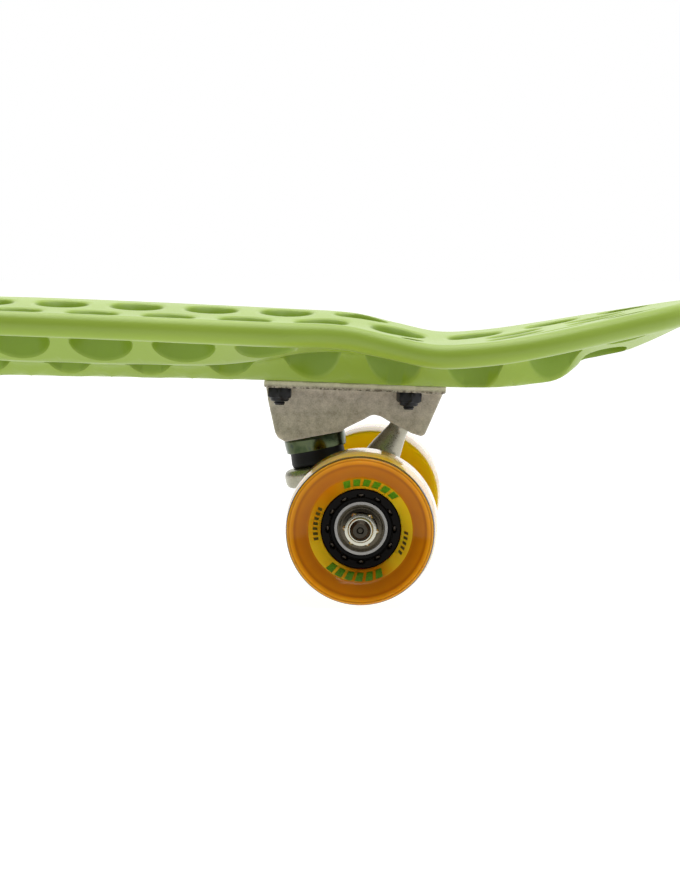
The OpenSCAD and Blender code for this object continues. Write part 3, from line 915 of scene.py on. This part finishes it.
def tyre(wheel, spot):
    verts, faces = lathe(rounded(mirrored(LIP), 1.2, 3), 160)
    skins = [urethane_side(), urethane_tread(), urethane_band(), urethane_edge()]
    obj = mesh_piece(f"{wheel}_urethane", verts, faces, skins, spot, 60)
    for poly in obj.data.polygons:
        places = [own_place(obj, i) for i in poly.vertices]
        radius = sum(math.hypot(p[0], p[1]) for p in places) / len(places)
        poly.material_index = tyre_skin(radius, places[0][2] > 0)
    claim(obj, f"{wheel}_wheel", "wheel_urethane", f"{wheel}_tyre")


def windows(r, z, a):
    """The height of a point of the core, sunk where a window is."""
    if abs(z) < CORE_W / 2 - 1 or r < 12.5:
        return z
    step = 2 * math.pi / WINDOWS
    off = ((a + step / 2) % step) - step / 2
    away = math.hypot(r * off * 0.6, (r - WINDOW_R) * 1.5)
    return z - math.copysign(WINDOW_DEPTH * float(ease(1.0, 0.6, away)), z)


def hub(wheel, spot):
    """The black core: a web between the bearings, their seats, and a face with windows."""
    face = -CORE_W / 2
    profile = [(8.6, -5), (11, -5.0), (11, -12), (12.1, -12), (12.3, face + 1.0), (12.8, face + 0.3)]
    profile += [(12.9 + 2.6 * t, face + 0.12 * (1 - t)) for t in np.linspace(0, 1, 9).tolist()]
    profile.append((CORE_R, face + 0.5))
    verts, faces = lathe(mirrored(profile), 288, z_of=windows)
    obj = mesh_piece(f"{wheel}_hub", verts, faces, [core_plastic(), window_painted_glint()], spot, 35)
    for poly in obj.data.polygons:
        places = [own_place(obj, i) for i in poly.vertices]
        r = [math.hypot(*p[:2]) for p in places]
        z = [abs(p[2]) for p in places]
        # The window floors take the painted glint.
        if min(r) > 12.6 and max(r) < 15.4 and 9 < min(z) and max(z) < CORE_W / 2 - 1.7:
            poly.material_index = 1
    claim(obj, f"{wheel}_wheel", "core_plastic", f"{wheel}_core")


def bearings(wheel, spot):
    """The outer rings and pressed shields of a wheel's two bearings."""
    shields, rings = [], []
    ring = RING + [(r, -z) for r, z in reversed(RING)]
    for centre in (-BEARING_AT, BEARING_AT):
        rings.append((*lathe([(r, centre + z) for r, z in ring], 96), spot))
        for out in (-BEARING_HALF_W, BEARING_HALF_W):
            shields.append((*lathe([(r, centre + out * share) for r, share in SHIELD], 72), spot))
    stand_in(f"{wheel}_bearing_covers", shields, metal("bearing_shield"),
             f"{wheel}_wheel", "bearing_shield", f"{wheel}_bearing_shields")
    stand_in(f"{wheel}_bearing_outer_rings", rings, metal("bearing_steel"),
             f"{wheel}_wheel", "bearing_steel", f"{wheel}_bearing_rings", 30)


def lip_height(r):
    """Height of the tyre's side face at radius r."""
    side = LIP[:5]
    return float(np.interp(r, [p[0] for p in side], [p[1] for p in side]))


# Arcs of dashes on the side: first and last angle, spacing, share of it inked, outer radius
BROAD_ARCS = [(-22, 50, 12.0, 0.7, 20.3), (152, 224, 12.0, 0.7, 20.3)]
FAINT_ARCS = [(256, 306, 6.4, 0.55, 18.9), (92, 124, 6.4, 0.55, 18.9)]
PRINT_R = 17.2


def dashes(arcs, up):
    shapes = []
    for first, last, pitch, share, outer_r in arcs:
        for k in range(int((last - first) / pitch)):
            start = first + k * pitch
            end = start + pitch * share
            shapes.append(dash(math.radians(start), math.radians(end), PRINT_R, outer_r, up))
    return shapes


def print_marks(wheel, spot, up):
    """Generic dashes printed round the side face, in two broad arcs and two faint ones."""
    for name, arcs, ink in (("print", BROAD_ARCS, print_ink()), ("small_print", FAINT_ARCS, dark_ink())):
        marks = joined(f"{wheel}_{name}", [(v, f, spot) for v, f in dashes(arcs, up)], [ink])
        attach(marks, f"{wheel}_wheel")


def dash(a0, a1, r0, r1, up):
    """A thin curved bar lying on the tyre's outer side face; angles run clockwise from the top."""
    verts, faces = [], []
    along, across = 4, 3
    for lift in (-0.25, 0.05):
        for i in range(along + 1):
            for j in range(across + 1):
                lean = 0.25 * (a1 - a0) * j / across
                a = a0 + (a1 - a0) * i / along + lean
                r = r0 + (r1 - r0) * j / across
                verts.append((up * r * math.sin(a), up * r * math.cos(a), lip_height(r) + lift))
    n = (along + 1) * (across + 1)
    w = across + 1
    for base in (0, n):
        for i in range(along):
            for j in range(across):
                q = base + i * w + j
                faces.append((q, q + 1, q + w + 1, q + w))
    rim = ([i * w for i in range(along + 1)] + [along * w + j for j in range(1, w)]
           + [i * w + across for i in range(along - 1, -1, -1)] + [j for j in range(across - 1, 0, -1)])
    for k, q in enumerate(rim):
        p = rim[(k + 1) % len(rim)]
        faces.append((q, p, p + n, q + n))
    return verts, faces


def claim(obj, body, slot_name, *nodes):
    """A piece rides a body and stands for CAD nodes."""
    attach(obj, body)
    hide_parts(*nodes)


def stand_in(name, parts, material, body, slot_name, node, smooth_angle=40):
    """One piece of several parts that stands for one CAD node."""
    claim(joined(name, parts, [material], smooth_angle), body, slot_name, node)


# ---- threads, bolts and nuts ----
def thread(r, z0, z1, pitch, depth):
    """Ring grooves of a cut thread as a (radius, height) line from z0 to z1."""
    count = max(1, int(abs(z1 - z0) / pitch))
    step = (z1 - z0) / count
    line = []
    for k in range(count):
        a = z0 + k * step
        line += [(r - depth, a), (r - depth, a + 0.12 * step), (r, a + 0.45 * step), (r, a + 0.62 * step)]
    return line + [(r - depth, z1)]


def hex_nut(flat, hex_h, total, collar, bore):
    """A lock nut standing on z=0: chamfered hexagon, round collar, rolled lip."""
    tip = flat / math.cos(math.pi / 6)
    slope = (tip - flat) * 0.75
    profile = [(bore, 0), (flat, 0), (tip, slope), (tip, hex_h - slope), (flat, hex_h),
               (flat - 0.25, hex_h + 0.1), (collar + 0.15, hex_h + 0.1), (collar, hex_h + 0.4),
               (collar, total - 0.7), (collar - 0.35, total - 0.2), (collar - 0.8, total),
               (bore + 0.7, total), (bore + 0.25, total - 0.25), (bore + 0.1, total - 0.9)]
    return lathe(profile, 144, flats=(6, flat))


def cross_head(r, height, recess_r):
    """A countersunk head with a cross cut in its top, standing on z=0 and narrowing downwards."""
    profile = [(0.01, -3), (2.2, -3), (2.4, 0), (r - 0.25, height - 0.35), (r, height - 0.15),
               (r - 0.15, height)]
    profile += [(r * (1 - k / 12) - 0.15, height + 0.12 * math.sin(math.pi * k / 24)) for k in range(1, 12)]
    profile += [(0.01, height + 0.12)]

    def cross(rr, z, a):
        if z < height - 0.1:
            return z
        x, y = abs(rr * math.cos(a)), abs(rr * math.sin(a))
        arm = min(x, y)
        reach = max(x, y)
        return z - 1.6 * float(ease(0.62, 0.42, arm)) * float(ease(recess_r + 0.2, recess_r - 0.15, reach))

    return lathe(profile, 144, z_of=cross)


def bolt_spots(end):
    for a in (-1, 1):
        for b in (-1, 1):
            yield at_plate(end) @ shift(a * BOLT_X / 2, b * BOLT_Y / 2, 0)


def hardware(end):
    """The four mounting bolts of a truck and their nuts, each turned a little differently."""
    heads, nuts = [], []
    nut_h = 5.8
    low = -FLANGE_T - nut_h - 1.5
    shaft = [(0.01, BOLT_SEAT), (BOLT_R, BOLT_SEAT), (BOLT_R, 0)]
    shaft += thread(BOLT_R, 0, low + 0.5, 0.8, 0.3) + [(1.9, low), (0.01, low)]
    for k, spot in enumerate(bolt_spots(end)):
        top = spot @ shift(0, 0, BOLT_SEAT)
        heads.append((*cross_head(4.55, 2.6, 2.3), top @ turn("Z", 0.4 + 0.9 * k)))
        heads.append((*lathe(shaft, 36), spot))
        seat = spot @ shift(0, 0, -FLANGE_T) @ turn("X", math.pi)
        nuts.append((*hex_nut(4.75, 4.2, nut_h, 3.9, 2.3), seat @ turn("Z", 0.52 - 0.13 * k)))
    black = metal("black_steel")
    stand_in(f"{end}_deck_bolts", heads, black, "board", "black_steel", f"{end}_mounting_bolts")
    stand_in(f"{end}_lock_nuts", nuts, black, "board", "black_steel", f"{end}_mounting_nuts")


def turned(name, node, profile, segments, material, slot_name, spot, smooth_angle):
    """A lathed piece of the board's own body that stands for one CAD node."""
    obj = mesh_piece(name, *lathe(profile, segments), [material], spot, smooth_angle)
    claim(obj, "board", slot_name, node)


def kingpin_parts(end):
    spot = at_kingpin(end)
    shank = [(0.01, -21.4), (6.0, -21.4), (7.4, -20.7), (7.6, -19.8), (7.6, -16.6), (7.2, -16),
             (KINGPIN_R, -16), (KINGPIN_R, WASHER_TOP - 2)]
    shank += thread(KINGPIN_R, WASHER_TOP - 2, 41.2, 1.06, 0.5) + [(3.9, 41.9), (1.6, 42), (0.01, 41.6)]
    turned(f"{end}_kingpin_bolt", f"{end}_kingpin", shank, 72, metal("black_steel"), "black_steel", spot, 35)

    cup = [(4.9, 0.02), (11.9, 0.02), (12.8, 0.25), (13.1, 1.0), (13.0, 3.2), (12.8, 5.9), (12.55, 6.2),
           (12.2, 6.1), (12.15, 3.2), (11.9, 1.75), (4.9, 1.6)]
    turned(f"{end}_cup_washer", f"{end}_top_washer", rounded(cup, 0.3, 2), 96,
           zinc_washer(), "zinc_washer", spot, 30)

    low_cup = [(4.9, NUT_TOP), (8.9, NUT_TOP), (9.4, NUT_TOP - 0.25), (9.6, NUT_TOP - 0.8),
               (9.55, WASHER_TOP - 1.1), (9.3, WASHER_TOP - 1.2), (9.0, WASHER_TOP - 1.1),
               (8.95, WASHER_TOP - 0.1), (4.9, WASHER_TOP)]
    turned(f"{end}_lower_washer", f"{end}_bottom_washer", rounded(low_cup, 0.2, 2), 96,
           zinc_washer(), "zinc_washer", spot, 30)

    nut = mesh_piece(f"{end}_kingpin_lock_nut", *hex_nut(7.15, 5.6, 7.8, 6.2, 4.6), [metal("black_steel")],
                     spot @ shift(0, 0, NUT_TOP) @ turn("Z", 0.35), 30)
    claim(nut, "board", "black_steel", f"{end}_kingpin_nut")
    bushings(end, spot)


def bushings(end, spot):
    """The two soft bushings, each with the board at one end and the hanger's ring at the other."""
    shapes = {
        "top": [(5.2, 1.65), (10.6, 1.65), (11.3, 2.3), (11.65, 3.6), (11.4, 7.2), (11.65, 10.8),
                (11.5, 12.0), (10.9, RING_TOP), (5.2, RING_TOP)],
        "bottom": [(5.2, RING_END), (9.2, RING_END), (9.8, RING_END + 0.4), (9.95, RING_END + 1.2),
                   (9.3, 26), (8.6, WASHER_TOP - 1.2), (8.2, WASHER_TOP - 0.3), (7.6, WASHER_TOP),
                   (5.2, WASHER_TOP)],
    }
    for which, profile in shapes.items():
        v, f = lathe(rounded(profile, 0.5, 3), 96)
        soft = mesh_piece(f"{end}_{which}_cushion", v, f, [soft_black("bushing_urethane", 2)], spot, 50)
        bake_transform(soft)
        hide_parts(f"{end}_{which}_bushing")


def axle_parts(end):
    """The axle with its threaded ends, the two axle nuts and the speed rings beside the bearings."""
    tip = [(0.01, -0.9), (0.9, -0.9), (1.1, -0.4), (1.5, 0), (2.9, 0), (3.5, -0.6)]
    line = [(r, AXLE_HALF + z) for r, z in tip]
    line += thread(AXLE_R, AXLE_HALF - 1.1, 91.6, 0.9, 0.4) + [(AXLE_R, 91.0), (AXLE_R, -91.0)]
    line += thread(AXLE_R, -91.6, -AXLE_HALF + 1.1, 0.9, 0.4)
    line += [(r, -AXLE_HALF - z) for r, z in reversed(tip)]
    lay = shift(ENDS[end] * AXLE_X, 0, AXLE_Z) @ turn("X", -math.pi / 2)
    truck = f"{end}_truck"
    rod = [(*lathe(line, 64), lay)]
    stand_in(f"{end}_axle_rod", rod, metal("dark_steel"), truck, "steel", f"{end}_axle", 35)
    nuts, rings = [], []
    for side, outward in SIDES.items():
        spot = at_wheel(end, side)
        seat = spot @ shift(0, 0, STACK + 1)
        nuts.append((*hex_nut(6.3, 5.4, 7.6, 5.0, 3.9), seat @ turn("Z", 0.2 + outward * 0.3)))
        for z in (-STACK - 0.5, STACK + 0.5):
            washer = [(4.05, z - 0.48), (5.5, z - 0.48), (5.7, z - 0.28),
                      (5.7, z + 0.28), (5.5, z + 0.48), (4.05, z + 0.48)]
            rings.append((*lathe(washer, 64), spot))
    stand_in(f"{end}_axle_lock_nuts", nuts, metal("nut_plating"), truck, "steel", f"{end}_axle_nuts", 30)
    stand_in(f"{end}_spacer_washers", rings, metal("steel"), truck, "steel", f"{end}_speed_rings", 30)


# ---- castings, from the CAD shapes ----
def cast_from(node, name, body, material, slot_name, voxel, smooth):
    """The CAD node's shape with the soft corners and uneven skin of a casting."""
    source = frame_node(node)
    obj = add_object(name, source.data.copy())
    obj.data.transform(source.matrix_world)
    obj.data.materials.clear()
    remesh = obj.modifiers.new("cast", "REMESH")
    remesh.mode = "VOXEL"
    remesh.voxel_size = voxel * MM
    soften = obj.modifiers.new("soften", "SMOOTH")
    soften.factor = 0.6
    soften.iterations = smooth
    deps = bpy.context.evaluated_depsgraph_get()
    mesh = bpy.data.meshes.new_from_object(obj.evaluated_get(deps))
    points = np.empty(3 * len(mesh.vertices), np.float32)
    mesh.vertices.foreach_get("co", points)
    back = np.array(at_plate(node.split("_")[0]).inverted())
    note_local(mesh, (points.reshape(-1, 3) / MM) @ back[:3, :3].T + back[:3, 3])
    obj.modifiers.clear()
    obj.data = mesh
    mesh.materials.clear()
    mesh.materials.append(material)
    mesh.shade_smooth()
    claim(obj, body, slot_name, node)


def frame_node(node):
    return next(o for o in bpy.data.objects if o.name == node and o.type == "MESH")


def keep_cad(node, material, width):
    """A CAD node shown as it is, with its own material and small bevels."""
    obj = frame_node(node)
    obj.data.materials.clear()
    obj.data.materials.append(material)
    if width:
        bevel = obj.modifiers.new("edge", "BEVEL")
        bevel.width = width * MM
        bevel.segments = 2
        bevel.limit_method = "ANGLE"
        bevel.angle_limit = math.radians(40)


# ---- the object ----
deck = make_deck()
claim(deck, "board", "deck_plastic", "deck")
for end in ENDS:
    cast_from(f"{end}_baseplate", f"{end}_base_casting", "board",
              cast_baseplate(), "cast_baseplate", 0.55, 3)
    cast_from(f"{end}_hanger", f"{end}_hanger_casting", f"{end}_truck",
              cast_hanger(), "cast_hanger", 0.6, 5)
    keep_cad(f"{end}_pivot_cup", soft_black("cup_plastic", 20), 0.3)
    keep_cad(f"{end}_bearing_inner_rings", metal("bearing_steel"), 0.2)
    keep_cad(f"{end}_bearing_spacers", metal("steel"), 0.2)
    hardware(end)
    kingpin_parts(end)
    axle_parts(end)
    for side, outward in SIDES.items():
        wheel, spot = f"{end}_{side}", at_wheel(end, side)
        tyre(wheel, spot)
        hub(wheel, spot)
        bearings(wheel, spot)
        print_marks(wheel, spot, -outward)
        keep_cad(f"{end}_{side}_bearing_balls", metal("bearing_steel"), 0)


# ---- floor, light and camera ----
FLOOR_GLOW = 0.95
# A hair under the wheels
FLOOR_Z = -0.0003
OVERHEAD = 28


def floor():
    """A white floor, clear when it is looked at from below."""
    half = 6.0
    corners = [(-half, -half, 0), (half, -half, 0), (half, half, 0), (-half, half, 0)]
    mesh = bpy.data.meshes.new("floor")
    mesh.from_pydata(corners, [], [(0, 1, 2, 3)])
    obj = add_object("floor", mesh)
    s = Shade("floor_white", Roughness=0.9, Base_Color=(0.3, 0.3, 0.3, 1), Specular_IOR_Level=0.0,
              Emission_Color=(1, 1, 1, 1), Emission_Strength=FLOOR_GLOW)
    under = s.add("ShaderNodeNewGeometry")
    clear = s.add("ShaderNodeBsdfTransparent")
    sheet = s.add("ShaderNodeMixShader")
    s.join(under.outputs["Backfacing"], sheet.inputs[0])
    s.join(s.main.outputs[0], sheet.inputs[1])
    s.join(clear.outputs[0], sheet.inputs[2])
    s.join(sheet.outputs[0], s.tree.nodes["Material Output"].inputs["Surface"])
    mesh.materials.append(s.mat)
    obj.location.z = FLOOR_Z


# How bright the studio is, from the viewer's side (0) to behind the object (1)
STUDIO = [(0.0, 0.11), (0.4, 0.19), (0.75, 0.36), (0.95, 1.0)]
STUDIO_SIDES = (0.63, 1.88)


def aimed(name, data, at, direction):
    """Puts a light or the camera in its place."""
    obj = add_object(name, data)
    obj.location = at
    obj.rotation_euler = direction.to_track_quat("-Z", "Y").to_euler()
    return obj


def overhead_light():
    data = bpy.data.lights.new("overhead", "AREA")
    data.shape = "RECTANGLE"
    data.size, data.size_y = 1.8, 1.3
    data.energy = OVERHEAD
    at = Vector((0.15, 0.12, 1.3))
    aimed("overhead", data, at, Vector((0.1, 0, 0.05)) - at)


def world():
    """A white studio that lights the object less from the side nearest the viewer's usual place."""
    studio = bpy.data.worlds.new("studio")
    bpy.context.scene.world = studio
    studio.use_nodes = True
    n = Nodes(studio.node_tree)
    split = n.add("ShaderNodeSeparateXYZ")
    n.join(n.add("ShaderNodeTexCoord").outputs["Generated"], split.inputs[0])
    depth = n.levels(n.range(split.outputs[1], -1.0, 1.0), STUDIO, "EASE")
    level = n.math("MULTIPLY", depth, n.range(split.outputs[0], -1.0, 1.0, *STUDIO_SIDES))
    seen = n.add("ShaderNodeMix", B=1.0)
    n.join(n.add("ShaderNodeLightPath").outputs["Is Camera Ray"], seen.inputs["Factor"])
    n.join(level, seen.inputs["A"])
    background = n.tree.nodes["Background"]
    n.join(seen.outputs[0], background.inputs["Strength"])
    background.inputs["Color"].default_value = (1, 1, 1, 1)


# Where the photograph was taken from, in metres, and its lens for a 36 mm sensor
CAMERA_AT, CAMERA_AIM, CAMERA_LENS = (0.2471, -1.3825, 0.1556), (-0.03826, 1, -0.06797), 135.3


def camera():
    data = bpy.data.cameras.new("camera")
    data.lens = CAMERA_LENS
    data.sensor_width = 36
    data.clip_start, data.clip_end = 0.05, 50
    bpy.context.scene.camera = aimed("camera", data, CAMERA_AT, Vector(CAMERA_AIM))


floor()
overhead_light()
world()
camera()
bpy.context.scene.view_settings.view_transform = "Standard"
